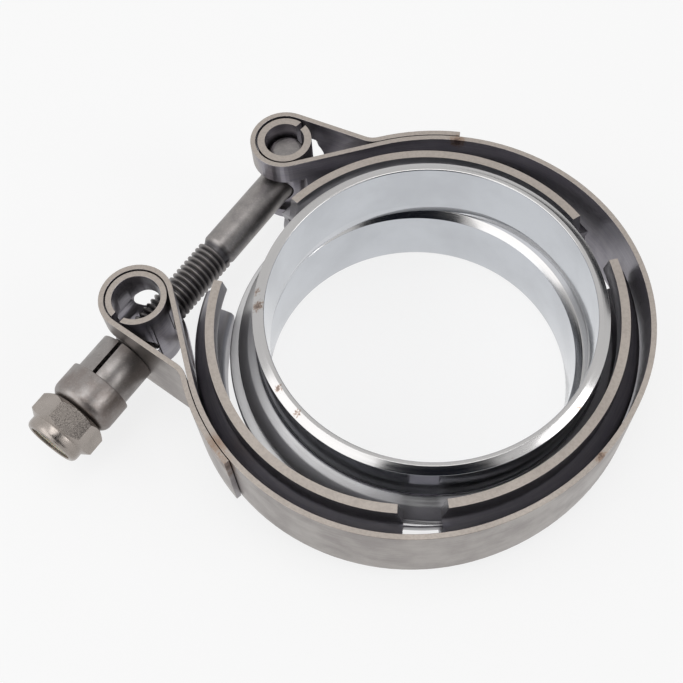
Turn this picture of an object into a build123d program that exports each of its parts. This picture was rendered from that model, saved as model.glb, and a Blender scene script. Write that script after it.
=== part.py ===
"""V-band clamp, drawn open and loose around its pair of weld flanges.

Millimetres, Z up. The origin lies on the lower flange's axis, in the plane that the
flange stands on. Every piece that belongs to the clamp is placed from the same
strap path, so the retainers, sleeves, bolt and nut follow the strap when it changes.
"""
import os
from math import asin, atan2, cos, degrees, hypot, radians, sin, tan

from build123d import *

os.makedirs("parts", exist_ok=True)

# Weld flanges
bore = 63.5  # inside diameter of the pipe bore
neck_wall = 2.35  # wall of the neck
flange_height = 15.3  # one flange, from its mating face to its pipe end
rim_land = 0.85  # flat ring left at the pipe end
weld_bevel = 0.85  # height of the weld preparation
lip_diameter = 76.6  # over the clamping lip
lip_edge = 2.2  # straight edge of the lip, next to the mating face
lip_angle = 38.0  # slope of the lip's clamping face, from the mating plane
lip_chamfer = 0.4  # broken edges of the lip
neck_fillet = 1.8  # between the clamping face and the neck
seat_relief = 0.5  # how far the bore opens at the mating face
seat_relief_height = 2.9
flange_shift = (2.0, 0.3)  # the upper flange lies a little off the lower one's axis

# Strap
strap_width = 19.0
strap_thickness = 1.1
clamp_drop = 0.2  # the loose clamp hangs this far below the joint of the flanges
band_centre = (3.78, 3.02)  # centre of the rear arc
rear_radius = 41.47  # inner face of the strap, rear and right
side_radius = 49.21  # flatter stretch, front right
front_radius = 43.30  # front and left
rear_to_side = -28.5  # direction where the rear arc ends
side_to_front = -79.7  # direction where the flatter stretch ends
layer_gap = 0.15  # between the strap and its doubled end
head_loop = (-23.9, 47.8)  # centre of the loop that holds the head of the bolt
nut_loop = (-55.7, 11.5)  # centre of the loop that the nut pulls on
head_loop_radius = 6.3  # inside the loop
nut_loop_radius = 6.5
fold_radius = 4.0  # where the doubled end folds onto the strap
head_end = 76.6  # direction of the doubled end's last edge
nut_end = 216.0
hole_drop = 1.4  # bolt holes and slots are centred this far below the strap's middle
slot_height = 10.4
head_slot = (6.0, 2.0)  # how far the slot runs along the doubled leg and the single leg
nut_slot = (6.5, 13.0)

# Retainers: steel segments with a V-shaped section, spot-welded inside the strap
retainer_thickness = 1.75
retainer_height = 21.2
retainer_depth = 3.33  # from the web's outer face to the collar's outer face
retainer_angle = 35.0  # slope of the flanks, from the mating plane
web_height = 6.3
bend_radius = 0.8  # inside radius of the retainer's bends
end_point = 1.2  # how far the bend stands proud of a retainer's sheared end
rear_seat = 1.9  # where the rear retainer touches the strap, past the arc's end
side_seat = -55.0  # direction of the side retainer's touch
front_seat = -125.0  # direction of the front retainer's touch
rear_web = 41.15  # outer radius of each web, as sprung by the open strap
side_web = 45.25
front_web = 43.0
rear_span = (28.2, 131.5)  # directions of the ends, each from its own centre
side_span = (-87.5, 9.0)
front_span = (161.5, 261.2)

# Spot welds
weld_diameter = 4.0
weld_depth = 0.2
end_weld_steps = (5.0, 14.0)  # degrees from each of the strap's ends

# Sleeves in the loops
head_sleeve = (5.85, 1.55)  # outer radius and wall
nut_sleeve = (6.25, 1.3)
sleeve_height = 18.6
head_slit = (42.0, 1.3)  # direction and width of the gap in the rolled sleeve
nut_slit_width = 2.2
sleeve_hole = 11.4  # diameter of the hole through the lower loop's sleeve

# Bolt with a cross head
thread_diameter = 7.9
shank_diameter = 7.8
shank_length = 25.9  # from the head's axis to the thread
bolt_length = 78.4
head_height = 14.8
head_clearance = 0.4  # the head has play in its sleeve
head_offset = 0.25  # the bolt lies to one side of the sleeve's axis,
bolt_drop = 1.2  # lower than the strap's middle,
bolt_turn = 1.2  # turned off the line between the loops,
bolt_droop = 1.0  # and its nut end hangs down (degrees)
head_round = 1.3
bolt_end_chamfer = 1.0
bolt_clearance = 0.3  # around the bolt, in the pieces that it passes through

# Spacer tube, ferrule and lock nut
tube_diameter = 12.1
tube_wall = 1.4
tube_slit = 0.9
tube_clearance = 0.1  # from the strap, and inside the ferrule
tube_depth = 4.2  # how far the tube stands in the ferrule
ferrule_diameter = 13.8
ferrule_length = 7.4
ferrule_start = 64.4  # from the head's axis
ferrule_round = 2.2
nut_gap = 0.1
nut_width = 13.0  # across the flats
nut_height = 8.0
nut_hex = 5.6
nut_collar = 12.0
nut_collar_round = 1.1
nut_edge_angle = 30.0
nut_rim = 0.6  # lip of the collar that holds the insert in: its height,
nut_rim_width = 0.5  # and how far it covers the insert
insert_diameter = 10.4
insert_height = 2.1
running_clearance = 0.08  # between the nut and the thread

# Heights
joint_z = flange_height
clamp_z = joint_z - clamp_drop
strap_bottom = clamp_z - strap_width / 2

half = strap_thickness / 2
bore_radius = bore / 2
neck_radius = bore_radius + neck_wall


def polar(centre, radius, angle):
    """Point at a distance and direction (degrees) from a centre."""
    return (centre[0] + radius * cos(radians(angle)), centre[1] + radius * sin(radians(angle)))


def direction(a, b):
    """Direction from point a to point b, in degrees."""
    return degrees(atan2(b[1] - a[1], b[0] - a[0]))


def leg(c1, r1, turn1, c2, r2, turn2):
    """Straight leg that leaves one circle and joins another without a corner.

    turn is 1 for a path that goes round anticlockwise and -1 for clockwise.
    """
    k = turn2 * r2 - turn1 * r1
    heading = direction(c1, c2) - degrees(asin(k / hypot(c2[0] - c1[0], c2[1] - c1[1])))
    left = heading + 90
    return polar(c1, -turn1 * r1, left), polar(c2, -turn2 * r2, left), heading


# The strap's path: mid-thickness radii and centres
rear_mid = rear_radius + half
side_mid = side_radius + half
front_mid = front_radius + half
side_centre = polar(band_centre, rear_radius - side_radius, rear_to_side)
front_centre = polar(side_centre, side_radius - front_radius, side_to_front)
head_mid = head_loop_radius + half
nut_mid = nut_loop_radius + half
layer = strap_thickness + layer_gap
fold_mid = fold_radius + half
near_a, near_b, near_heading = leg(head_loop, head_mid, 1, band_centre, rear_mid, -1)
rise_a, rise_b, rise_heading = leg(front_centre, front_mid, -1, nut_loop, nut_mid, 1)

# The doubled ends fold away where the strap leaves its arcs
head_fold = direction(band_centre, near_b)
nut_fold = direction(front_centre, rise_a) % 360
head_fold_centre = polar(band_centre, rear_mid + layer + fold_mid, head_fold)
nut_fold_centre = polar(front_centre, front_mid + layer + fold_mid, nut_fold)
far_a, far_b, far_heading = leg(head_fold_centre, fold_mid, -1, head_loop, head_mid, 1)
back_a, back_b, back_heading = leg(nut_loop, nut_mid, 1, nut_fold_centre, fold_mid, -1)

# Arcs of the path from one doubled end to the other: centre, radius, first and last
# direction, and the way round. Straight legs join the arcs that don't touch.
strap_arcs = (
    (band_centre, rear_mid + layer, head_end, head_fold, 1),
    (head_fold_centre, fold_mid, head_fold + 180, direction(head_fold_centre, far_a), -1),
    (head_loop, head_mid, direction(head_loop, far_b), direction(head_loop, near_a), 1),
    (band_centre, rear_mid, direction(band_centre, near_b), rear_to_side, -1),
    (side_centre, side_mid, rear_to_side, side_to_front, -1),
    (front_centre, front_mid, side_to_front, direction(front_centre, rise_a), -1),
    (nut_loop, nut_mid, direction(nut_loop, rise_b), direction(nut_loop, back_a), 1),
    (nut_fold_centre, fold_mid, direction(nut_fold_centre, back_b), nut_fold + 180, -1),
    (front_centre, front_mid + layer, nut_fold, nut_end, 1),
)

loop_angle = direction(head_loop, nut_loop)
loop_distance = hypot(nut_loop[0] - head_loop[0], nut_loop[1] - head_loop[1])
head_axis = polar(head_loop, head_offset, loop_angle + 90)
bolt_angle = loop_angle + bolt_turn
droop = radians(bolt_droop)
bolt_plane = Plane(
    origin=(head_axis[0], head_axis[1], clamp_z - bolt_drop),
    x_dir=(cos(radians(bolt_angle)) * sin(droop), sin(radians(bolt_angle)) * sin(droop), cos(droop)),
    z_dir=(cos(radians(bolt_angle)) * cos(droop), sin(radians(bolt_angle)) * cos(droop), -sin(droop)),
)
hole_z = clamp_z - hole_drop


def along_bolt(distance):
    """Plane square to the bolt, at a distance from the axis of its head."""
    return bolt_plane.offset(distance)


def standing(centre, angle, z=clamp_z):
    """Plane at a centre whose normal points outwards in a direction, at a height."""
    return Plane(
        origin=(centre[0], centre[1], z),
        x_dir=(0, 0, 1),
        z_dir=(cos(radians(angle)), sin(radians(angle)), 0),
    )


# Welds sit behind each retainer and on the doubled ends
welds = [
    (band_centre, rear_radius, 58.0),
    (side_centre, side_radius, -44.0),
    (side_centre, side_radius, -66.0),
    (front_centre, front_radius, -106.0),
]
for step in end_weld_steps:
    welds.append((band_centre, rear_radius + layer, head_end + step))
    welds.append((front_centre, front_radius + layer, nut_end - step))

# Strap, with its doubled ends and the slots that the bolt passes through
with BuildPart() as strap:
    with BuildSketch(Plane.XY.offset(strap_bottom)):
        with BuildLine():
            for shift in (half, -half):
                last = None
                for centre, radius, start, end, turn in strap_arcs:
                    radius -= turn * shift
                    size = (end - start) % 360 if turn > 0 else -((start - end) % 360)
                    first = polar(centre, radius, start)
                    if last and hypot(first[0] - last[0], first[1] - last[1]) > 0.01:
                        Line(last, first)
                    CenterArc(centre, radius, start, size)
                    last = polar(centre, radius, end)
            for centre, radius, angle in (
                (band_centre, rear_mid + layer, head_end),
                (front_centre, front_mid + layer, nut_end),
            ):
                Line(polar(centre, radius - half, angle), polar(centre, radius + half, angle))
        make_face()
    extrude(amount=strap_width)

    # Slots for the bolt: round the loop, and along both legs to a rounded end
    for centre, outside, legs in (
        (head_loop, head_loop_radius + strap_thickness,
         ((far_b, far_heading + 180, head_slot[0]), (near_a, near_heading, head_slot[1]))),
        (nut_loop, nut_loop_radius + strap_thickness,
         ((back_a, back_heading, nut_slot[0]), (rise_b, rise_heading + 180, nut_slot[1]))),
    ):
        with BuildSketch(Plane.XY.offset(hole_z - slot_height / 2)):
            with Locations(centre):
                Circle(outside + 0.5)
        extrude(amount=slot_height, mode=Mode.SUBTRACT)
        for start, heading, length in legs:
            middle = polar(start, (length - slot_height) / 2, heading)
            with BuildSketch(standing(middle, heading + 90, hole_z)):
                SlotOverall(length + slot_height, slot_height, rotation=90)
            extrude(amount=strap_thickness, both=True, mode=Mode.SUBTRACT)

    # Shallow dimples of the spot welds in the outer face
    for centre, radius, angle in welds:
        face = standing(polar(centre, radius + strap_thickness, angle), angle)
        with BuildSketch(face):
            Circle(weld_diameter / 2)
        extrude(amount=weld_depth, both=True, mode=Mode.SUBTRACT)
strap.part.label = "strap"
export_step(strap.part, "parts/strap.step")


# Retainers
def retainer_centre(touch, normal, web):
    """Centre of a retainer whose web touches the strap at a point, given the outward direction there."""
    return polar(touch, -web, normal)


rear_touch = polar(near_b, rear_seat, near_heading + 180)
rear_touch = polar(rear_touch, -half, near_heading + 90)
retainers = (
    ("retainer_rear", retainer_centre(rear_touch, near_heading + 90, rear_web), rear_web, rear_span),
    ("retainer_side", polar(side_centre, side_radius - side_web, side_seat), side_web, side_span),
    ("retainer_front", polar(front_centre, front_radius - front_web, front_seat), front_web,
     front_span),
)
slope = radians(retainer_angle)
skin = retainer_thickness / 2
for name, centre, web, (first, last) in retainers:
    collar = web - retainer_depth - skin
    bend_z = web_height / 2 + (retainer_depth + skin) * tan(slope) - skin / cos(slope)
    web_z = web_height / 2 + skin * tan(slope) - skin / cos(slope)
    spare = degrees(end_point / web)
    with BuildPart() as retainer:
        start = radians(first - spare)
        with BuildSketch(
            Plane(
                origin=(centre[0], centre[1], clamp_z),
                x_dir=(cos(start), sin(start), 0),
                z_dir=(sin(start), -cos(start), 0),
            )
        ):
            with BuildLine():
                FilletPolyline(
                    (collar, retainer_height / 2),
                    (collar, bend_z),
                    (web - skin, web_z),
                    (web - skin, -web_z),
                    (collar, -bend_z),
                    (collar, -retainer_height / 2),
                    radius=bend_radius + skin,
                )
            trace(line_width=retainer_thickness)
        revolve(
            axis=Axis((centre[0], centre[1], 0), (0, 0, 1)),
            revolution_arc=last - first + 2 * spare,
        )
        # Sheared ends, proud where the flanks bend
        for angle, side in ((first, 1), (last, -1)):
            with BuildSketch(standing(centre, angle)):
                with BuildLine():
                    Polyline(
                        (retainer_height, 0),
                        (retainer_height / 2, 0),
                        (bend_z, side * end_point),
                        (0, 0),
                        (-bend_z, side * end_point),
                        (-retainer_height / 2, 0),
                        (-retainer_height, 0),
                        (-retainer_height, side * 4 * end_point),
                        (retainer_height, side * 4 * end_point),
                        close=True,
                    )
                make_face()
            extrude(amount=web + retainer_thickness, mode=Mode.SUBTRACT)
    retainer.part.label = name
    export_step(retainer.part, f"parts/{name}.step")


# Sleeves rolled from sheet, one in each loop
def hole_along_bolt(radius, start, length):
    """Round hole on the bolt's line."""
    with Locations(along_bolt(start)):
        Cylinder(radius, length, align=(Align.CENTER, Align.CENTER, Align.MIN),
                 mode=Mode.SUBTRACT)


hole_radius = shank_diameter / 2 + bolt_clearance
for name, centre, (outer, wall), slit_angle, slit_width, hole in (
    ("head_sleeve", head_loop, head_sleeve, head_slit[0], head_slit[1], hole_radius + head_offset),
    ("nut_sleeve", nut_loop, nut_sleeve, loop_angle, nut_slit_width, sleeve_hole / 2),
):
    with BuildPart() as sleeve:
        with BuildSketch(Plane.XY.offset(clamp_z - sleeve_height / 2)):
            with Locations(centre):
                Circle(outer)
                Circle(outer - wall, mode=Mode.SUBTRACT)
            with Locations(polar(centre, outer, slit_angle)):
                Rectangle(2 * outer, slit_width, rotation=slit_angle, mode=Mode.SUBTRACT)
        extrude(amount=sleeve_height)
        # The upper loop's sleeve is pierced on the nut's side only
        with Locations(standing(centre, loop_angle, hole_z)):
            Cylinder(hole, 2 * outer, align=(Align.CENTER, Align.CENTER, Align.MIN),
                     mode=Mode.SUBTRACT)
        if name == "nut_sleeve":
            with Locations(standing(centre, loop_angle + 180, hole_z)):
                Cylinder(hole, 2 * outer, align=(Align.CENTER, Align.CENTER, Align.MIN),
                         mode=Mode.SUBTRACT)
    sleeve.part.label = name
    export_step(sleeve.part, f"parts/{name}.step")

# Bolt: a round cross head, a short shank and a long thread
head_radius = head_sleeve[0] - head_sleeve[1] - head_clearance
with BuildPart() as bolt:
    with BuildSketch(Plane.XY.offset(clamp_z - bolt_drop - head_height / 2)):
        with Locations(head_axis):
            Circle(head_radius)
    extrude(amount=head_height)
    fillet(bolt.edges().filter_by(GeomType.CIRCLE), min(head_round, head_radius / 2))
    with BuildSketch(bolt_plane):
        Circle(shank_diameter / 2)
    extrude(amount=shank_length)
    with BuildSketch(along_bolt(shank_length)):
        Circle(thread_diameter / 2)
    extrude(amount=bolt_length - shank_length)
    chamfer(
        bolt.faces().sort_by(Axis(bolt_plane.origin, bolt_plane.z_dir))[-1].edges(),
        bolt_end_chamfer,
    )
bolt.part.label = "bolt"
export_step(bolt.part, "parts/bolt.step")

# Spacer tube, rolled from sheet, from the loop to the ferrule
tube_radius = tube_diameter / 2
loop_face = nut_loop_radius + strap_thickness
tube_start = loop_distance + loop_face + tube_radius * sin(droop) + tube_clearance
tube_end = ferrule_start + tube_depth
with BuildPart() as tube:
    with BuildSketch(along_bolt(tube_start)):
        Circle(tube_radius)
        Circle(tube_radius - tube_wall, mode=Mode.SUBTRACT)
        with Locations((tube_radius, 0)):
            Rectangle(2 * tube_wall + 1, tube_slit, mode=Mode.SUBTRACT)
    extrude(amount=tube_end - tube_start)
tube.part.label = "tube"
export_step(tube.part, "parts/tube.step")

# Ferrule: a cup that takes the tube and carries the nut
with BuildPart() as ferrule:
    with BuildSketch(along_bolt(ferrule_start)):
        Circle(ferrule_diameter / 2)
    extrude(amount=ferrule_length)
    fillet(
        ferrule.faces().sort_by(Axis(bolt_plane.origin, bolt_plane.z_dir))[-1].edges(),
        min(ferrule_round, ferrule_diameter / 4),
    )
    hole_along_bolt(hole_radius, ferrule_start, ferrule_length)
    hole_along_bolt(tube_radius + tube_clearance, ferrule_start, tube_depth + tube_clearance)
ferrule.part.label = "ferrule"
export_step(ferrule.part, "parts/ferrule.step")

# Lock nut and its insert
nut_start = ferrule_start + ferrule_length + nut_gap
nut_bore = thread_diameter / 2 + running_clearance
corner = nut_width / 2 / cos(radians(30))
edge = (corner - nut_width / 2) * tan(radians(nut_edge_angle))
insert_radius = insert_diameter / 2
insert_end = nut_height - nut_rim
with BuildPart() as nut:
    with BuildSketch(along_bolt(nut_start)):
        RegularPolygon(nut_width / 2, 6, major_radius=False, rotation=30)
    extrude(amount=nut_hex)
    # Both ends of the hexagon are turned to a cone, and the collar stands on it
    with BuildSketch(Plane(along_bolt(nut_start).origin, x_dir=bolt_plane.x_dir,
                           z_dir=bolt_plane.y_dir)):
        with BuildLine():
            Polyline(
                (0, 0),
                (nut_width / 2, 0),
                (corner + 0.01, -edge),
                (corner + 0.01, -nut_hex + edge),
                (nut_width / 2, -nut_hex),
                (0, -nut_hex),
                close=True,
            )
        make_face()
    revolve(axis=Axis(bolt_plane.origin, bolt_plane.z_dir), mode=Mode.INTERSECT)
    with BuildSketch(along_bolt(nut_start + nut_hex)):
        Circle(nut_collar / 2)
    extrude(amount=nut_height - nut_hex)
    fillet(
        nut.faces().sort_by(Axis(bolt_plane.origin, bolt_plane.z_dir))[-1].edges(),
        nut_collar_round,
    )
    hole_along_bolt(nut_bore, nut_start, nut_height)
    hole_along_bolt(
        insert_radius + running_clearance / 2,
        nut_start + insert_end - insert_height - running_clearance,
        insert_height + running_clearance,
    )
    hole_along_bolt(insert_radius - nut_rim_width, nut_start + insert_end, nut_rim)
nut.part.label = "nut"
export_step(nut.part, "parts/nut.step")

with BuildPart() as insert:
    with BuildSketch(along_bolt(nut_start + insert_end - insert_height - running_clearance / 2)):
        Circle(insert_radius)
        Circle(nut_bore, mode=Mode.SUBTRACT)
    extrude(amount=insert_height)
insert.part.label = "nut_insert"
export_step(insert.part, "parts/nut_insert.step")

# Weld flanges, turned, mating face to mating face
lip_radius = lip_diameter / 2
lip_top = lip_edge + (lip_radius - neck_radius) * tan(radians(lip_angle))
for name, centre, normal in (
    ("flange_upper", flange_shift, (0, -1, 0)),
    ("flange_lower", (0, 0), (0, 1, 0)),
):
    with BuildPart() as flange:
        with BuildSketch(
            Plane(origin=(centre[0], centre[1], joint_z), x_dir=(1, 0, 0), z_dir=normal)
        ):
            with BuildLine():
                Polyline(
                    (bore_radius + seat_relief, 0),
                    (bore_radius, seat_relief_height),
                    (bore_radius, flange_height),
                    (bore_radius + rim_land, flange_height),
                    (neck_radius, flange_height - weld_bevel),
                    (neck_radius, lip_top),
                    (lip_radius, lip_edge),
                    (lip_radius, 0),
                    close=True,
                )
            make_face()
        revolve(axis=Axis((centre[0], centre[1], 0), (0, 0, 1)))
        rims = flange.edges().filter_by(GeomType.CIRCLE)
        fillet([e for e in rims if abs(e.radius - neck_radius) < 0.01
                and abs(abs(e.center().Z - joint_z) - lip_top) < 0.01], neck_fillet)
        rims = flange.edges().filter_by(GeomType.CIRCLE)
        chamfer([e for e in rims if abs(e.radius - lip_radius) < 0.01], lip_chamfer)
    flange.part.label = name
    export_step(flange.part, f"parts/{name}.step")
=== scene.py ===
"""Dressing of a loose V-band clamp that lies round its pair of weld flanges.

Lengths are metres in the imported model's frame; sizes named in millimetres are turned by MM.
"""
import math
import bmesh
import bpy
from bpy.props import FloatProperty, FloatVectorProperty, IntProperty, PointerProperty
from mathutils import Matrix, Vector


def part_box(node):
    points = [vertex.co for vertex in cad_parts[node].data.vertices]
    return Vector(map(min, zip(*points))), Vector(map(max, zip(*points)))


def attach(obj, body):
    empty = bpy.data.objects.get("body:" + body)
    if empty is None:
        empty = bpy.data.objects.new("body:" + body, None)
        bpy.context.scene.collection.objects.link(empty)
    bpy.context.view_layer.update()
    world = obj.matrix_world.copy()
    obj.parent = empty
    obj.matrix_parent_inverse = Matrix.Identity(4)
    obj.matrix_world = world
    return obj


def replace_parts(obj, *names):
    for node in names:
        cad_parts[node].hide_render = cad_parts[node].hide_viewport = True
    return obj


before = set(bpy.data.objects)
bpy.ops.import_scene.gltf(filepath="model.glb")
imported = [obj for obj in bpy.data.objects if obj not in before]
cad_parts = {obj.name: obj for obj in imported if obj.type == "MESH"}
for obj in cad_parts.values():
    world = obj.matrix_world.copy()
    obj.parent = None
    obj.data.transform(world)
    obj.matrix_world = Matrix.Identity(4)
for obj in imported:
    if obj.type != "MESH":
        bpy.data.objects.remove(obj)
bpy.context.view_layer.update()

bl_info = {
    "name": "V-band clamp",
    "version": (1, 0, 0),
    "blender": (4, 5, 0),
    "location": "3D View > Sidebar > Clamp",
    "description": "Builds the turned flanges, the threaded bolt and the finishes of a V-band clamp",
    "category": "Object",
}

MM = 0.001

# Kinds of node that come up often, and settings that go with them
MATH = "ShaderNodeMath"
VECTOR = "ShaderNodeVectorMath"
RANGE = "ShaderNodeMapRange"
MIX = "ShaderNodeMix"
NOISE = "ShaderNodeTexNoise"
BUMP = "ShaderNodeBump"
PLACE = "ShaderNodeTexCoord"
EASED = {"interpolation_type": "SMOOTHSTEP"}
COLOUR = {"data_type": "RGBA"}

# Bolt's line: the head's axis, and the direction towards the nut
HEAD = Vector((-23.7120, 47.6353, 13.9)) * MM
ALONG = Vector((-0.642949, -0.765710, -0.017452)).normalized()

# Spot welds of the strap: centre and radius of its outer face, in millimetres, and direction in degrees
SPOT_WELDS = (
    ((3.78, 3.02), 42.57, 58.0),
    ((-3.022, 6.713), 50.31, -44.0),
    ((-3.022, 6.713), 50.31, -66.0),
    ((-1.965, 0.898), 44.4, -106.0),
    ((3.78, 3.02), 43.82, 81.6),
    ((3.78, 3.02), 43.82, 90.6),
    ((-1.965, 0.898), 45.65, 211.0),
    ((-1.965, 0.898), 45.65, 202.0),
)
WELD_HEIGHT = 15.1
WELD_REACH = 2.3 * MM

# Heat marks, as place and radius in millimetres: on the upper flange's rim, and round the strap's welds
RIM_MARKS = (
    ((-31.2, 7.0, 30.4), 1.1),
    ((-30.9, 3.6, 30.4), 1.5),
    ((-27.8, -14.3, 30.4), 0.9),
    ((-24.6, -19.6, 30.4), 0.8),
    ((26.5, -23.5, 30.2), 0.8),
)
WELD_MARKS = (
    ((13.0, 43.3, 24.0), 2.2),
    ((-40.2, -21.6, 23.0), 3.4),
    ((-39.0, -25.2, 22.6), 3.0),
    ((-38.2, -26.6, 19.0), 2.0),
    ((29.9, -31.0, 24.2), 1.6),
)


def paint(text):
    """Linear colour from an sRGB hex value."""
    parts = [int(text[i : i + 2], 16) / 255 for i in (1, 3, 5)]
    return tuple(c / 12.92 if c <= 0.04045 else ((c + 0.055) / 1.055) ** 2.4 for c in parts) + (1.0,)


def add(tree, kind, inputs=(), out=0, **settings):
    """Adds a node and returns one of its outputs.

    The inputs are given in order, or by number or name. Each is a value, or the output it is linked from.
    """
    made = tree.nodes.new(kind)
    for key, value in settings.items():
        setattr(made, key, value)
    for key, value in inputs.items() if isinstance(inputs, dict) else enumerate(inputs):
        if isinstance(value, bpy.types.NodeSocket):
            tree.links.new(value, made.inputs[key])
        else:
            made.inputs[key].default_value = value
    return made.outputs[out] if len(made.outputs) else None


def start_tree(owner):
    """The emptied node tree of a material or a world."""
    owner.use_nodes = True
    owner.node_tree.nodes.clear()
    return owner.node_tree


def link(name, data):
    """An object that shows the data, in the scene."""
    made = bpy.data.objects.new(name, data)
    bpy.context.scene.collection.objects.link(made)
    return made


def cut_edges(tree, low, high):
    """1 on the level faces at a piece's bottom and top, where the sheet was sheared, and 0 elsewhere."""
    upward = add(tree, "ShaderNodeSeparateXYZ", (add(tree, PLACE, out="Normal"),), 2)
    steep = add(tree, MATH, (upward,), operation="ABSOLUTE")
    level = add(tree, RANGE, (steep, 0.6, 0.9, 0.0, 1.0), **EASED)
    height = add(tree, "ShaderNodeSeparateXYZ", (add(tree, PLACE, out="Object"),), 2)
    offset = add(tree, MATH, (height, (low + high) / 2), operation="SUBTRACT")
    away = add(tree, MATH, (offset,), operation="ABSOLUTE")
    half = (high - low) / 2
    near = add(tree, RANGE, (away, half - 0.5 * MM, half - 0.3 * MM, 0.0, 1.0), **EASED)
    return add(tree, MATH, (level, near), operation="MULTIPLY")


def heat_marks(tree, tone, place, grain, marks):
    """Brown spots with a ragged edge, darker in the middle; places and radii in millimetres."""
    ragged = add(tree, RANGE, (grain, 0.2, 0.8, -0.5 * MM, 0.5 * MM), **EASED)
    for point, radius in marks:
        away = add(tree, VECTOR, (place, Vector(point) * MM), 1, operation="DISTANCE")
        edge = add(tree, MATH, (away, ragged), operation="ADD")
        nearness = add(tree, MATH, (edge, -1.0), operation="MULTIPLY")
        for outer, inner, share, colour in ((1.0, 0.4, 0.65, "#806551"), (0.5, 0.2, 0.6, "#4A403C")):
            reach = radius * MM
            spot = add(tree, RANGE, (nearness, -outer * reach, -inner * reach, 0.0, share), **EASED)
            tone = add(tree, MIX, {0: spot, 6: tone, 7: paint(colour)}, 2, **COLOUR)
    return tone


def turned_stainless(name, centre, colour, marks=()):
    """304 stainless, turned and polished.

    The eye sees a near mirror with fine rings round its axis. The clamping cone was only turned, so it is
    duller and a little pitted, and the rim carries brown heat marks.
    """
    material = bpy.data.materials.new(name)
    tree = start_tree(material)
    place = add(tree, PLACE, out="Object")
    here = add(tree, "ShaderNodeMapping", (place, (-centre[0], -centre[1], 0)))
    axes = add(tree, "ShaderNodeSeparateXYZ", (here,)).node.outputs
    flat = add(tree, "ShaderNodeCombineXYZ", (axes[0], axes[1]))
    radius = add(tree, VECTOR, (flat,), 1, operation="LENGTH")
    across = add(tree, MATH, (axes[2], 0.8, radius), operation="MULTIPLY_ADD")
    # The tool's feed is 0.1 mm; the rings are drawn 0.35 mm apart, so that they show
    rings = add(tree, NOISE, {"W": across, "Scale": 1 / (0.35 * MM), "Detail": 3.0}, noise_dimensions="1D")
    broad = add(tree, NOISE, {"W": across, "Scale": 1 / (3 * MM), "Detail": 2.0}, noise_dimensions="1D")
    cloud = add(tree, NOISE, {"Vector": here, "Scale": 1 / (14 * MM), "Detail": 4.0})
    blots = add(tree, NOISE, {"Vector": here, "Scale": 1 / (5 * MM), "Detail": 6.0, "Roughness": 0.7})
    specks = add(tree, NOISE, {"Vector": here, "Scale": 1 / (0.4 * MM), "Detail": 2.0})

    stain = add(tree, RANGE, (blots, 0.66, 0.78, 0.0, 0.55), **EASED)
    cone = add(tree, RANGE, (radius, 34.15 * MM, 35.0 * MM, 0.0, 1.0), **EASED)
    upward = add(tree, "ShaderNodeSeparateXYZ", (add(tree, PLACE, out="Normal"),), 2)
    steep = add(tree, MATH, (upward,), operation="ABSOLUTE")
    level = add(tree, RANGE, (steep, 0.5, 0.7, 0.0, 1.0), **EASED)
    off_cone = add(tree, MATH, (1.0, cone), operation="SUBTRACT")
    rim = add(tree, MATH, (level, off_cone), operation="MULTIPLY")

    banded = add(tree, RANGE, (broad, 0.45, 0.6, 0.0, 1.0), **EASED)
    tone = colour
    for share, shade in (
        (add(tree, RANGE, (cloud, 0.3, 0.7, 0.0, 0.35), **EASED), "#A9ABAF"),
        (add(tree, MATH, (cone, 0.6), operation="MULTIPLY"), "#B7B4B1"),
        # Level faces off the cone (rim and weld bevel) are painted darker and warmer: painted shade that tones
        # down the lamps' reflection there
        (add(tree, MATH, (rim, 0.75), operation="MULTIPLY"), "#ADAAA7"),
        (add(tree, MATH, (stain, banded), operation="MULTIPLY"), "#8A6A52"),
    ):
        tone = add(tree, MIX, {0: share, 6: tone, 7: paint(shade)}, 2, **COLOUR)
    tone = heat_marks(tree, tone, place, specks, marks)

    rough = add(tree, RANGE, (rings, 0.3, 0.7, 0.07, 0.13), **EASED)
    hazy = add(tree, RANGE, (cloud, 0.4, 0.75, 0.0, 0.08), **EASED)
    for part, share in ((hazy, 1.0), (stain, 0.25), (cone, 0.24), (rim, 0.06)):
        rough = add(tree, MATH, (part, share, rough), operation="MULTIPLY_ADD")

    pitted = add(tree, MATH, (cone, 0.35), operation="MULTIPLY")
    normal = add(tree, BUMP, {"Height": specks, "Strength": pitted, "Distance": 0.03 * MM})
    for height, strength, depth in ((rings, 0.12, 0.01 * MM), (broad, 0.2, 0.02 * MM)):
        normal = add(tree, BUMP, {"Height": height, "Strength": strength, "Distance": depth,
                                  "Normal": normal})
    shader = add(tree, "ShaderNodeBsdfPrincipled",
                 {"Base Color": tone, "Metallic": 1.0, "Roughness": rough, "Normal": normal})
    add(tree, "ShaderNodeOutputMaterial", (shader,))
    return material


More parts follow.
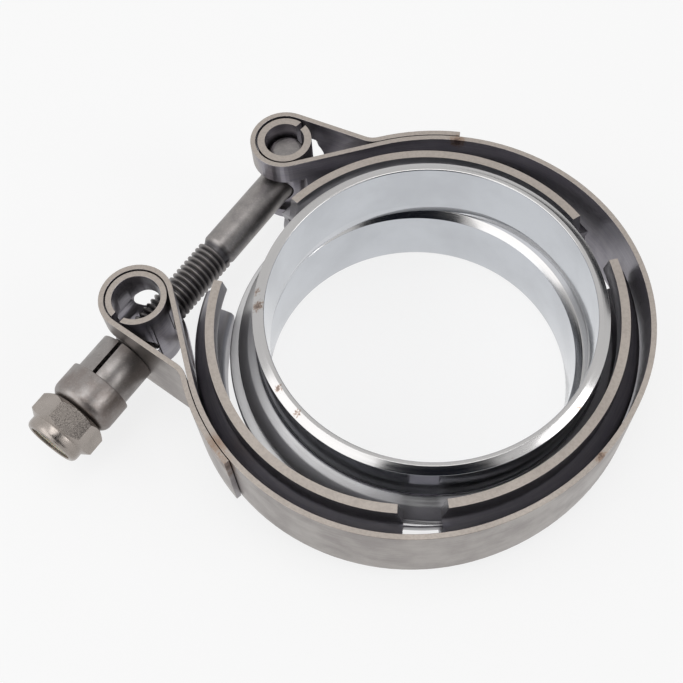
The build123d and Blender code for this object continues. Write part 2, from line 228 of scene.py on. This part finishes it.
def rolled_strip(name, face, inside, edge, axis, levels, marks=()):
    """Cold-rolled stainless strip, sheared to width.

    The eye sees a satin face with level lines, paler and coarser sheared edges, and brown heat marks at the
    welds. Faces that look in towards the axis take the inside colour; for the strap and sleeves it is darker
    and cooler, a painted shade with a painted cool reflection.
    """
    material = bpy.data.materials.new(name)
    tree = start_tree(material)
    place = add(tree, PLACE, out="Object")
    here = add(tree, "ShaderNodeMapping", (place, (-axis[0], -axis[1], 0)))
    # Rolling lines run level round the band: close together in height and long the other way. The real ones are
    # some 0.02 mm apart; they are drawn 0.22 mm apart, so that they show
    lines = add(tree, "ShaderNodeMapping", {0: here, 3: (0.03, 0.03, 1.0)})
    fine = add(tree, NOISE, {"Vector": lines, "Scale": 1 / (0.22 * MM), "Detail": 3.0})
    cloud = add(tree, NOISE, {"Vector": here, "Scale": 1 / (9 * MM), "Detail": 5.0, "Roughness": 0.6})
    grain = add(tree, NOISE, {"Vector": here, "Scale": 1 / (0.5 * MM), "Detail": 2.0})
    cut = cut_edges(tree, *levels)

    # Positive where the surface looks away from the band's axis
    axes = add(tree, "ShaderNodeSeparateXYZ", (here,)).node.outputs
    level = add(tree, "ShaderNodeCombineXYZ", (axes[0], axes[1]))
    away = add(tree, VECTOR, (level,), operation="NORMALIZE")
    outward = add(tree, VECTOR, (away, add(tree, PLACE, out="Normal")), 1, operation="DOT_PRODUCT")
    outer = add(tree, RANGE, (outward, -0.3, 0.3, 0.0, 1.0), **EASED)
    # Inward faces take the inside colour: darker and cooler for strap and sleeves, a painted shade with a
    # painted cool reflection
    skin = add(tree, MIX, {0: outer, 6: inside, 7: face}, 2, **COLOUR)
    cooler = add(tree, MIX, {0: 1.0, 6: skin, 7: paint("#CFCCD2")}, 2, blend_type="MULTIPLY", **COLOUR)
    clouded = add(tree, RANGE, (cloud, 0.35, 0.7, 0.0, 0.5), **EASED)
    side = add(tree, MIX, {0: clouded, 6: skin, 7: cooler}, 2, **COLOUR)
    lined = add(tree, RANGE, (fine, 0.42, 0.62, 0.0, 0.2), **EASED)
    side = add(tree, MIX, {0: lined, 6: side, 7: paint("#BDB9B5")}, 2, **COLOUR)
    gritty = add(tree, RANGE, (grain, 0.4, 0.65, 0.0, 0.35), **EASED)
    top = add(tree, MIX, {0: gritty, 6: edge, 7: paint("#8B8580")}, 2, **COLOUR)
    tone = add(tree, MIX, {0: cut, 6: side, 7: top}, 2, **COLOUR)
    tone = heat_marks(tree, tone, place, grain, marks)

    rough = add(tree, MIX, {0: cut, 2: 0.36, 3: 0.5})
    worn = add(tree, RANGE, (cloud, 0.3, 0.7, -0.03, 0.08), **EASED)
    rough = add(tree, MATH, (rough, worn), operation="ADD")
    lift = add(tree, BUMP, {"Height": fine, "Strength": 0.25, "Distance": 0.015 * MM})
    pits = add(tree, BUMP, {"Height": grain, "Strength": 0.3, "Distance": 0.02 * MM, "Normal": lift})
    shader = add(tree, "ShaderNodeBsdfPrincipled",
                 {"Base Color": tone, "Metallic": 1.0, "Roughness": rough, "Normal": pits})
    add(tree, "ShaderNodeOutputMaterial", (shader,))
    return material


def forged_steel(name, base, dark, roughness, valley=None):
    """Stainless that was forged, drawn or machined, and then tumbled.

    The eye sees a dull, slightly mottled satin with a fine grain, finer where the steel is smoother. valley
    holds two distances from the bolt's line, between which painted shade in a rolled thread's roots fades
    from dark to light.
    """
    material = bpy.data.materials.new(name)
    tree = start_tree(material)
    place = add(tree, PLACE, out="Object")
    cloud = add(tree, NOISE, {"Vector": place, "Scale": 1 / (4 * MM), "Detail": 6.0, "Roughness": 0.65})
    grain = add(tree, NOISE, {"Vector": place, "Scale": 1 / (0.35 * MM), "Detail": 3.0})
    nicks = add(tree, "ShaderNodeTexVoronoi", {"Vector": place, "Scale": 1 / (1.3 * MM)})
    mottled = add(tree, RANGE, (cloud, 0.35, 0.68, 0.0, 0.7), **EASED)
    tone = add(tree, MIX, {0: mottled, 6: base, 7: dark}, 2, **COLOUR)
    bright = add(tree, RANGE, (grain, 0.5, 0.75, 0.0, 0.25), **EASED)
    tone = add(tree, MIX, {0: bright, 6: tone, 7: paint("#B8B2AA")}, 2, **COLOUR)
    if valley:
        arm = add(tree, VECTOR, (place, HEAD), operation="SUBTRACT")
        lever = add(tree, VECTOR, (arm, ALONG), operation="CROSS_PRODUCT")
        distance = add(tree, VECTOR, (lever,), 1, operation="LENGTH")
        far = add(tree, VECTOR, (arm, ALONG), 1, operation="DOT_PRODUCT")
        # Painted shade: the thread's roots are painted dark grey, from where the thread starts
        crest = add(tree, RANGE, (distance, *valley, 0.0, 1.0), **EASED)
        hollow = add(tree, MATH, (1.0, crest), operation="SUBTRACT")
        threaded = add(tree, RANGE, (far, 25.5 * MM, 26.2 * MM, 0.0, 0.8), **EASED)
        root_shade = add(tree, MATH, (hollow, threaded), operation="MULTIPLY")
        tone = add(tree, MIX, {0: root_shade, 6: tone, 7: paint("#3F3E42")}, 2, **COLOUR)
    uneven = add(tree, RANGE, (cloud, 0.3, 0.7, roughness - 0.03, roughness + 0.05), **EASED)
    gritty = add(tree, RANGE, (grain, 0.3, 0.7, -0.03, 0.05), **EASED)
    rough = add(tree, MATH, (uneven, gritty), operation="ADD")
    small = add(tree, BUMP, {"Height": grain, "Strength": 0.9 * (roughness - 0.15), "Distance": 0.03 * MM})
    large = add(tree, BUMP, {"Height": nicks, "Strength": 0.03, "Distance": 0.05 * MM, "Normal": small})
    shader = add(tree, "ShaderNodeBsdfPrincipled",
                 {"Base Color": tone, "Metallic": 1.0, "Roughness": rough, "Normal": large})
    add(tree, "ShaderNodeOutputMaterial", (shader,))
    return material


def moulded_nylon(name, colour):
    """Nylon 6, moulded: the eye sees a pale waxy ring with a little light coming through it."""
    material = bpy.data.materials.new(name)
    tree = start_tree(material)
    place = add(tree, PLACE, out="Object")
    haze = add(tree, NOISE, {"Vector": place, "Scale": 1 / (1.5 * MM), "Detail": 3.0})
    share = add(tree, RANGE, (haze, 0.35, 0.7, 0.0, 0.6), **EASED)
    tone = add(tree, MIX, {0: share, 6: colour, 7: paint("#B9B39E")}, 2, **COLOUR)
    bump = add(tree, BUMP, {"Height": haze, "Strength": 0.2, "Distance": 0.03 * MM})
    shader = add(tree, "ShaderNodeBsdfPrincipled",
                 {"Base Color": tone, "Roughness": 0.45, "Subsurface Weight": 0.15,
                  "Subsurface Scale": 0.6 * MM, "Normal": bump})
    add(tree, "ShaderNodeOutputMaterial", (shader,))
    return material


def rounded(points, radius, steps=3):
    """A closed outline with each corner rounded; a point may carry its own radius."""
    out = []
    count = len(points)
    for i, point in enumerate(points):
        size = point[2] if len(point) > 2 else radius
        here = Vector(point[:2])
        if size == 0:
            out.append(tuple(here))
            continue
        before = Vector(points[i - 1][:2]) - here
        after = Vector(points[(i + 1) % count][:2]) - here
        half = before.angle(after) / 2
        back = min(size / math.tan(half), 0.45 * before.length, 0.45 * after.length)
        size = back * math.tan(half)
        middle = here + (before.normalized() + after.normalized()).normalized() * size / math.sin(half)
        first = here + before.normalized() * back - middle
        last = here + after.normalized() * back - middle
        turn = first.angle_signed(last)
        for k in range(steps + 1):
            angle = -turn * k / steps
            c, s = math.cos(angle), math.sin(angle)
            out.append((middle.x + c * first.x - s * first.y, middle.y + s * first.x + c * first.y))
    return out


def join_rings(mesh, rings, outline):
    """Joins neighbouring rings of vertices with faces, all but those that lie on the axis."""
    count = len(outline)
    for near, far in zip(rings, rings[1:] + rings[:1]):
        for i in range(count):
            j = (i + 1) % count
            if outline[i][0] > 0 or outline[j][0] > 0:
                mesh.faces.new((near[i], far[i], far[j], near[j]))


def lathe(mesh, outline, segments, place):
    """Turns a closed outline of (radius, height) round an axis into the mesh, set by a matrix."""
    rings = []
    for k in range(segments):
        angle = 2 * math.pi * k / segments
        c, s = math.cos(angle), math.sin(angle)
        rings.append([mesh.verts.new(place @ Vector((r * c, r * s, h))) for r, h in outline])
    join_rings(mesh, rings, outline)


def finish_mesh(name, mesh, material, body, sharp, packed=False):
    """Turns a bmesh into a piece that rides on a body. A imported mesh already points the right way."""
    if not packed:
        bmesh.ops.remove_doubles(mesh, verts=mesh.verts, dist=1e-7)
        bmesh.ops.recalc_face_normals(mesh, faces=mesh.faces)
    data = bpy.data.meshes.new(name)
    mesh.to_mesh(data)
    mesh.free()
    data.shade_smooth()
    data.set_sharp_from_angle(angle=math.radians(sharp))
    data.materials.append(material)
    piece = link(name, data)
    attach(piece, body)
    return piece


def round_edges(piece, width, angle, segments=2):
    """Rounds the edges of a piece that bend by more than an angle."""
    bevel = piece.modifiers.new("round", "BEVEL")
    bevel.width = width
    bevel.segments = segments
    bevel.limit_method = "ANGLE"
    bevel.angle_limit = math.radians(angle)
    bevel.harden_normals = True


def soften(node, material, width):
    """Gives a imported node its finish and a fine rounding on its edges."""
    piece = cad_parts[node]
    piece.data.materials.clear()
    piece.data.materials.append(material)
    piece.modifiers.new("join", "WELD").merge_threshold = 1e-6
    round_edges(piece, width, 40)


def level_welds(material):
    """Replaces the strap by a copy whose spot welds are ground flush with its outer face."""
    mesh = bmesh.new()
    mesh.from_mesh(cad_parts["strap"].data)
    bmesh.ops.remove_doubles(mesh, verts=mesh.verts, dist=1e-6)
    for centre, radius, turn in SPOT_WELDS:
        axis = Vector((*centre, WELD_HEIGHT)) * MM
        spoke = Vector((math.cos(math.radians(turn)), math.sin(math.radians(turn)), 0))
        weld = axis + spoke * radius * MM
        # The weld's floor and wall: deeper than the outer face's facets, and less deep than its inner face
        dented = []
        for face in mesh.faces:
            if (face.calc_center_median() - weld).length < WELD_REACH:
                deep = max(radius * MM - math.hypot(*(vert.co - axis)[:2]) for vert in face.verts)
                if 0.12 * MM < deep < 0.6 * MM:
                    dented.append(face)
        bmesh.ops.delete(mesh, geom=dented, context="FACES")
        rim = [edge for edge in mesh.edges
               if edge.is_boundary and (edge.verts[0].co - weld).length < WELD_REACH]
        bmesh.ops.holes_fill(mesh, edges=rim, sides=0)
    piece = finish_mesh("rolled_strap", mesh, material, "clamp", 30, packed=True)
    round_edges(piece, 0.12 * MM, 50)
    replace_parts(piece, "strap")


def bolt_frame(distance=0.0):
    """Matrix whose Z runs along the bolt from a distance past its head's axis."""
    side = Vector((0, 0, 1)).cross(ALONG).normalized()
    up = ALONG.cross(side)
    turn = Matrix((side, up, ALONG)).transposed().to_4x4()
    return Matrix.Translation(HEAD + ALONG * distance) @ turn


def thread_tree():
    """Geometry Nodes: a ridge of trapezoid section that follows a helix."""
    tree = bpy.data.node_groups.new("thread ridge", "GeometryNodeTree")
    face = tree.interface
    face.new_socket("Geometry", in_out="OUTPUT", socket_type="NodeSocketGeometry")
    for label in ("Pitch", "Turns", "Root radius", "Depth"):
        face.new_socket(label, in_out="INPUT", socket_type="NodeSocketFloat")
    face.new_socket("Material", in_out="INPUT", socket_type="NodeSocketMaterial")
    given = add(tree, "NodeGroupInput").node.outputs
    length = add(tree, MATH, (given["Pitch"], given["Turns"]), operation="MULTIPLY")
    helix = add(tree, "GeometryNodeCurveSpiral", {
        "Resolution": 48, "Rotations": given["Turns"], "Start Radius": given["Root radius"],
        "End Radius": given["Root radius"], "Height": length, "Reverse": False})
    upright = add(tree, "GeometryNodeSetCurveNormal", {"Curve": helix}, mode="Z_UP")
    wide = add(tree, MATH, (given["Pitch"], 0.96), operation="MULTIPLY")
    crest = add(tree, MATH, (given["Pitch"], 0.14), operation="MULTIPLY")
    section = add(tree, "GeometryNodeCurvePrimitiveQuadrilateral",
                  {"Bottom Width": wide, "Top Width": crest, "Height": given["Depth"], "Offset": 0.0},
                  mode="TRAPEZOID")
    centred = add(tree, MATH, (given["Depth"], 0.5), operation="MULTIPLY")
    shift = add(tree, "ShaderNodeCombineXYZ", {1: centred})
    outward = add(tree, "GeometryNodeTransform", {"Geometry": section, "Translation": shift})
    turned = add(tree, "GeometryNodeTransform", {"Geometry": outward, "Rotation": (0, 0, math.radians(90))})
    ridge = add(tree, "GeometryNodeCurveToMesh",
                {"Curve": upright, "Profile Curve": turned, "Fill Caps": True})
    real = add(tree, "GeometryNodeRealizeInstances", (ridge,))
    painted = add(tree, "GeometryNodeSetMaterial", {0: real, "Material": given["Material"]})
    add(tree, "NodeGroupOutput", (painted,))
    return tree


def grown(tree, values):
    """The plain mesh that a tree makes with the given inputs."""
    holder = link("holder", bpy.data.meshes.new("holder"))
    modifier = holder.modifiers.new("grow", "NODES")
    modifier.node_group = tree
    for socket in tree.interface.items_tree:
        if socket.in_out == "INPUT" and socket.name in values:
            modifier[socket.identifier] = values[socket.name]
    view = bpy.context.evaluated_depsgraph_get()
    data = bpy.data.meshes.new_from_object(holder.evaluated_get(view))
    bpy.data.objects.remove(holder)
    return data


class ClampSizes(bpy.types.PropertyGroup):
    """Sizes of the pieces that are made here."""

    bore: FloatProperty(name="Bore", description="Inside diameter of the flanges",
                        default=63.5 * MM, unit="LENGTH", precision=4)
    flange_height: FloatProperty(name="Flange height", description="Mating face to pipe end",
                                 default=15.3 * MM, unit="LENGTH", precision=4)
    lip_diameter: FloatProperty(name="Lip diameter", description="Over the clamping lip",
                                default=76.6 * MM, unit="LENGTH", precision=4)
    edge_break: FloatProperty(name="Edge break", description="Rounding left on sharp turned edges",
                              default=0.12 * MM, unit="LENGTH", precision=5)
    thread_diameter: FloatProperty(name="Thread diameter", description="Over the crests of the thread",
                                   default=7.9 * MM, unit="LENGTH", precision=4)
    thread_pitch: FloatProperty(name="Thread pitch", description="Advance of the thread in one turn",
                                default=1.25 * MM, unit="LENGTH", precision=5)
    shank_length: FloatProperty(name="Shank length", description="From the head's axis to the thread",
                                default=25.9 * MM, unit="LENGTH", precision=4)
    bolt_length: FloatProperty(name="Bolt length", description="From the head's axis to the bolt's end",
                               default=78.4 * MM, unit="LENGTH", precision=4)
    segments: IntProperty(name="Segments", description="Facets round a turned flange", default=256,
                          min=64, max=512)


class ClampColours(bpy.types.PropertyGroup):
    """Colours of the finishes."""

    polished: FloatVectorProperty(name="Polished", description="Turned and polished stainless",
                                  subtype="COLOR", size=4, default=paint("#C9CCD1"))
    strip_face: FloatVectorProperty(name="Strip face", description="Rolled face of the strap",
                                    subtype="COLOR", size=4, default=paint("#9A9490"))
    sheet_face: FloatVectorProperty(name="Sheet face", description="Rolled face of the retainers",
                                    subtype="COLOR", size=4, default=paint("#9B9A9E"))
    # Darker and cooler than the strip's face: painted shade with a painted cool reflection on the inward faces
    sheet_inside_shade: FloatVectorProperty(name="Sheet inside", description="Inner faces of strap and sleeves",
                                      subtype="COLOR", size=4, default=paint("#8E8B93"))
    cut_edge: FloatVectorProperty(name="Cut edge", description="Sheared edge of strap and retainers",
                                  subtype="COLOR", size=4, default=paint("#A59D96"))
    bolt: FloatVectorProperty(name="Bolt", description="Forged bolt, tube and ferrule",
                              subtype="COLOR", size=4, default=paint("#8E8A88"))
    nut: FloatVectorProperty(name="Nut", description="Machined lock nut",
                             subtype="COLOR", size=4, default=paint("#9F9791"))
    nylon: FloatVectorProperty(name="Nylon", description="Locking ring of the nut",
                               subtype="COLOR", size=4, default=paint("#D8D2BF"))


class CLAMP_OT_flanges(bpy.types.Operator):
    """Turns the two weld flanges"""

    bl_idname = "clamp.flanges"
    bl_label = "Weld flanges"

    def execute(self, context):
        sizes, colours = context.scene.clamp_sizes, context.scene.clamp_colours
        bore, lip, tall = sizes.bore / 2, sizes.lip_diameter / 2, sizes.flange_height
        neck = bore + 2.35 * MM
        slope = math.tan(math.radians(38))
        # From the seat up the bore, over the weld bevel and down the neck, the cone and the lip
        wall = [
            (bore, tall, 0.3 * MM),
            (bore + 0.85 * MM, tall),
            (neck, tall - 0.85 * MM),
            (neck, 1.62 * MM + (lip - neck) * slope, 1.0 * MM),
            (neck + 2.1 * MM, 3.95 * MM, 1.5 * MM),
            (lip, 2.2 * MM, 0.35 * MM),
            (lip, 0, 0.3 * MM),
        ]
        relief = [(bore + 0.5 * MM, 0), (bore, 2.9 * MM, 0.02 * MM)]
        # The lower flange's seat is broken to a wide bevel, that shows as a dark band
        bevel = [(bore + 1.3 * MM, 0), (bore, 1.4 * MM)]
        for node, seat, up, marks in (("flange_upper", relief, 1, RIM_MARKS),
                                      ("flange_lower", bevel, -1, ())):
            low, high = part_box(node)
            centre = (low + high) / 2
            place = Matrix.Translation((centre.x, centre.y, low.z if up > 0 else high.z))
            place = place @ Matrix.Diagonal((1, 1, up, 1))
            mesh = bmesh.new()
            lathe(mesh, rounded(seat + wall, sizes.edge_break, 4), sizes.segments, place)
            steel = turned_stainless("polished_" + node, centre, colours.polished, marks)
            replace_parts(finish_mesh("turned_" + node, mesh, steel, "clamp", 28), node)
        return {"FINISHED"}


class CLAMP_OT_bolt(bpy.types.Operator):
    """Makes the cross-headed bolt with its rolled thread"""

    bl_idname = "clamp.bolt"
    bl_label = "Bolt"

    def execute(self, context):
        sizes, colours = context.scene.clamp_sizes, context.scene.clamp_colours
        crest = sizes.thread_diameter / 2
        depth = 0.6 * sizes.thread_pitch
        root = crest - depth
        core = root + 0.05 * MM
        shank = head = 3.9 * MM
        head_height = 14.8 * MM
        long, end = sizes.shank_length, sizes.bolt_length
        steel = forged_steel("forged_bolt", colours.bolt, paint("#737070"), 0.38, (root, crest))
        turns = (end - long - 2.2 * MM) / sizes.thread_pitch
        ridge = grown(thread_tree(), {"Pitch": sizes.thread_pitch, "Turns": turns, "Root radius": root,
                                      "Depth": depth, "Material": steel})
        ridge.transform(bolt_frame(long + 0.9 * MM))
        stem = (
            (0.0, 0.6 * MM, 0.0),
            (shank, 0.6 * MM, 0.1 * MM),
            (shank, long - 0.6 * MM, 0.5 * MM),
            (core, long + 0.5 * MM, 0.3 * MM),
            (core, end - 1.0 * MM, 0.2 * MM),
            (root - 0.5 * MM, end, 0.1 * MM),
            (0.0, end, 0.0),
        )
        cross = ((0.0, 0, 0.0), (head, 0, 1.3 * MM), (head, head_height, 1.3 * MM),
                 (0.0, head_height, 0.0))
        mesh = bmesh.new()
        lathe(mesh, rounded(stem, 0.1 * MM, 3), 64, bolt_frame())
        lathe(mesh, rounded(cross, 0.1 * MM, 6), 64,
              Matrix.Translation(HEAD - Vector((0, 0, head_height / 2))))
        mesh.from_mesh(ridge)
        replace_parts(finish_mesh("threaded_bolt", mesh, steel, "clamp", 35), "bolt")
        return {"FINISHED"}


class CLAMP_OT_nut(bpy.types.Operator):
    """Makes the hexagon nut with its collar rolled over the locking ring"""

    bl_idname = "clamp.nut"
    bl_label = "Lock nut"

    def execute(self, context):
        # Millimetres: half across the flats, heights of hexagon and nut, and radii of the collar, the
        # thread, the ring's seat and the collar's rim
        flat, tall, whole, collar = 6.5, 5.6, 8.0, 6.0
        inner, seat, rim = 4.03, 5.24, 4.7
        broken = 0.35
        chamfer = math.tan(math.radians(36))
        steps = 20
        # The seat lies 71.9 mm along the bolt, and the nut is turned until a flat faces the camera
        place = bolt_frame(71.9 * MM) @ Matrix.Rotation(math.radians(-27.1), 4, "Z")
        mesh = bmesh.new()
        rings = []
        for k in range(6 * steps):
            turn = 60 * k / steps
            wide = flat / math.cos(math.radians(turn % 60 - 30))
            cone = (wide - flat + broken) * chamfer
            section = [
                (inner + 0.25, 0), (flat - broken, 0), (wide, cone), (wide, tall - cone),
                (flat - broken, tall), (collar + 0.12, tall), (collar, tall + 0.12), (collar, whole - 1.1),
                (collar - 0.12, whole - 0.6), (collar - 0.45, whole - 0.18), (collar - 0.85, whole),
                (rim + 0.2, whole), (rim, whole - 0.15), (rim, whole - 0.6), (seat, whole - 0.6),
                (seat, whole - 2.8), (inner, whole - 2.8), (inner, 0.25),
            ]
            c, s = math.cos(math.radians(turn)), math.sin(math.radians(turn))
            rings.append([mesh.verts.new(place @ (Vector((r * c, r * s, h)) * MM)) for r, h in section])
        join_rings(mesh, rings, section)
        steel = forged_steel("machined_nut_steel", context.scene.clamp_colours.nut, paint("#8E8781"), 0.26)
        piece = finish_mesh("machined_nut", mesh, steel, "nut", 20)
        round_edges(piece, 0.2 * MM, 20, 3)
        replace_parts(piece, "nut")
        return {"FINISHED"}


class CLAMP_OT_finishes(bpy.types.Operator):
    """Gives the strap, the retainers, the sleeves, the tube, the ferrule and the ring their finish"""

    bl_idname = "clamp.finishes"
    bl_label = "Finishes"

    def execute(self, context):
        colours = context.scene.clamp_colours
        for node, face, inside, width in (
            ("strap", colours.strip_face, colours.sheet_inside_shade, None),
            ("retainer_rear", colours.sheet_face, colours.sheet_face, 0.15 * MM),
            ("retainer_side", colours.sheet_face, colours.sheet_face, 0.15 * MM),
            ("retainer_front", colours.sheet_face, colours.sheet_face, 0.15 * MM),
            ("head_sleeve", colours.sheet_face, colours.sheet_inside_shade, 0.12 * MM),
            ("nut_sleeve", colours.sheet_face, colours.sheet_inside_shade, 0.12 * MM),
        ):
            low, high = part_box(node)
            sheet = rolled_strip("rolled_" + node, face, inside, colours.cut_edge, (0.0, 2.0 * MM),
                                 (low.z, high.z), WELD_MARKS if node == "strap" else ())
            if node == "strap":
                level_welds(sheet)
            else:
                soften(node, sheet, width)
        soften("tube", forged_steel("drawn_tube_steel", colours.bolt, paint("#777270"), 0.36), 0.12 * MM)
        soften("ferrule", forged_steel("turned_ferrule_steel", colours.bolt, paint("#7B716C"), 0.38),
               0.15 * MM)
        soften("nut_insert", moulded_nylon("nylon_ring", colours.nylon), 0.1 * MM)
        return {"FINISHED"}


class CLAMP_OT_stage(bpy.types.Operator):
    """Sets the floor, the soft lights, the screens and the camera"""

    bl_idname = "clamp.stage"
    bl_label = "Stage"

    def execute(self, context):
        self.floor_and_sky(context.scene)
        self.lamps()
        self.screens()
        self.camera(context.scene)
        context.scene.view_settings.view_transform = "Standard"
        return {"FINISHED"}

    def floor_and_sky(self, scene):
        """A pale floor that keeps shadows and a white world, both plain white to the camera and in mirrors"""
        material = bpy.data.materials.new("pale_floor")
        tree = start_tree(material)
        ray = add(tree, "ShaderNodeLightPath").node.outputs
        matt = add(tree, "ShaderNodeBsdfDiffuse", {"Color": paint("#F4F4F4")})
        glow = add(tree, "ShaderNodeEmission", {"Color": (1, 1, 1, 1), "Strength": 1.0})
        mirrored = add(tree, MATH, (ray["Is Glossy Ray"], ray["Is Transmission Ray"]), operation="MAXIMUM")
        seen = add(tree, MATH, (ray["Is Camera Ray"], mirrored), operation="MAXIMUM")
        share = add(tree, MATH, (seen, 0.8), operation="MULTIPLY")
        both = add(tree, "ShaderNodeMixShader", (share, matt, glow))
        add(tree, "ShaderNodeOutputMaterial", (both,))
        data = bpy.data.meshes.new("floor")
        data.from_pydata([(x, y, -0.0002) for x, y in ((-4, -4), (4, -4), (4, 4), (-4, 4))], [],
                         [(0, 1, 2, 3)])
        data.materials.append(material)
        link("floor", data)

        scene.world = bpy.data.worlds.new("studio")
        tree = start_tree(scene.world)
        ray = add(tree, "ShaderNodeLightPath").node.outputs
        white = add(tree, "ShaderNodeBackground", {"Color": (1, 1, 1, 1), "Strength": 1.0})
        fill = add(tree, "ShaderNodeBackground", {"Color": (1, 1, 1, 1), "Strength": 0.45})
        mirrored = add(tree, MATH, (ray["Is Glossy Ray"], ray["Is Transmission Ray"]), operation="MAXIMUM")
        seen = add(tree, MATH, (ray["Is Camera Ray"], mirrored), operation="MAXIMUM")
        both = add(tree, "ShaderNodeMixShader", (seen, fill, white))
        add(tree, "ShaderNodeOutputWorld", (both,))

    def lamps(self):
        """Three soft lamps: place and size in metres, and power in watts"""
        for name, place, size, power in (
            ("key", (-0.65, -0.25, 0.6), 0.9, 3.2),
            ("top", (0.05, 0.0, 1.0), 0.5, 1.6),
            ("side", (0.75, -0.3, 0.45), 0.4, 2.0),
        ):
            lamp = bpy.data.lights.new(name, "AREA")
            lamp.shape = "SQUARE"
            lamp.size = size
            lamp.energy = power
            holder = link(name, lamp)
            holder.location = place
            holder.rotation_mode = "QUATERNION"
            aim = Vector((-0.01, 0, 0.015)) - Vector(place)
            holder.rotation_quaternion = aim.to_track_quat("-Z", "Y")

    def screens(self):
        """Dark screens in front, over the lens and at the back, that give the polished faces their contrast

        Each is a patch of a sphere, between two directions and two heights in degrees.
        """
        dark = bpy.data.materials.new("dark_screen")
        tree = start_tree(dark)
        cloth = add(tree, "ShaderNodeBsdfDiffuse", {"Color": paint("#1C202C")})
        add(tree, "ShaderNodeOutputMaterial", (cloth,))
        distance, columns, steps = 0.7, 12, 8
        for name, turns, lifts in (("front_screen", (-121, -60), (7, 74)),
                                   ("lens_screen", (-62, 4), (54, 71)),
                                   ("rear_screen", (20, 75), (2, 16))):
            mesh = bmesh.new()
            rows = []
            for i in range(steps + 1):
                lift = math.radians(lifts[0] + (lifts[1] - lifts[0]) * i / steps)
                row = []
                for j in range(columns + 1):
                    turn = math.radians(turns[0] + (turns[1] - turns[0]) * j / columns)
                    row.append(mesh.verts.new((distance * math.cos(lift) * math.cos(turn),
                                               distance * math.cos(lift) * math.sin(turn),
                                               distance * math.sin(lift))))
                rows.append(row)
            for lower, upper in zip(rows, rows[1:]):
                for j in range(columns):
                    mesh.faces.new((lower[j], lower[j + 1], upper[j + 1], upper[j]))
            data = bpy.data.meshes.new(name)
            mesh.to_mesh(data)
            mesh.free()
            data.materials.append(dark)
            screen = link(name, data)
            screen.visible_camera = False
            screen.visible_transmission = False

    def camera(self, scene):
        """The photograph's view: from the front and steeply above, turned a little in the frame"""
        photo_width, focal_length = 683, 1077.1
        lift, roll = math.radians(62.24), math.radians(-4.989)
        right = Vector((1, 0, 0))
        up = Vector((0, math.sin(lift), math.cos(lift)))
        side = right * math.cos(roll) + up * math.sin(roll)
        above = up * math.cos(roll) - right * math.sin(roll)
        turn = Matrix((side, above, side.cross(above))).transposed().to_4x4()
        camera = bpy.data.cameras.new("camera")
        camera.sensor_width = 36.0
        camera.lens = camera.sensor_width * focal_length / photo_width
        camera.clip_start = 0.01
        scene.camera = link("camera", camera)
        scene.camera.matrix_world = Matrix.Translation(Vector((-15.4, -100.0, 209.6)) * MM) @ turn


class CLAMP_PT_panel(bpy.types.Panel):
    """Lists the clamp's operators and settings"""

    bl_idname = "CLAMP_PT_panel"
    bl_label = "V-band clamp"
    bl_space_type = "VIEW_3D"
    bl_region_type = "UI"
    bl_category = "Clamp"

    def draw(self, context):
        for kind in OPERATORS:
            self.layout.operator(kind.bl_idname)
        for group in (context.scene.clamp_sizes, context.scene.clamp_colours):
            column = self.layout.column()
            for key in group.bl_rna.properties.keys():
                if key not in {"rna_type", "name"}:
                    column.prop(group, key)


OPERATORS = (CLAMP_OT_flanges, CLAMP_OT_bolt, CLAMP_OT_nut, CLAMP_OT_finishes, CLAMP_OT_stage)
CLASSES = (ClampSizes, ClampColours) + OPERATORS + (CLAMP_PT_panel,)


def register():
    for kind in CLASSES:
        bpy.utils.register_class(kind)
    bpy.types.Scene.clamp_sizes = PointerProperty(type=ClampSizes)
    bpy.types.Scene.clamp_colours = PointerProperty(type=ClampColours)


def unregister():
    del bpy.types.Scene.clamp_colours
    del bpy.types.Scene.clamp_sizes
    for kind in reversed(CLASSES):
        bpy.utils.unregister_class(kind)


def main():
    register()
    bpy.ops.clamp.flanges()
    bpy.ops.clamp.bolt()
    bpy.ops.clamp.nut()
    bpy.ops.clamp.finishes()
    bpy.ops.clamp.stage()
    bpy.context.view_layer.update()


if __name__ == "__main__":
    main()
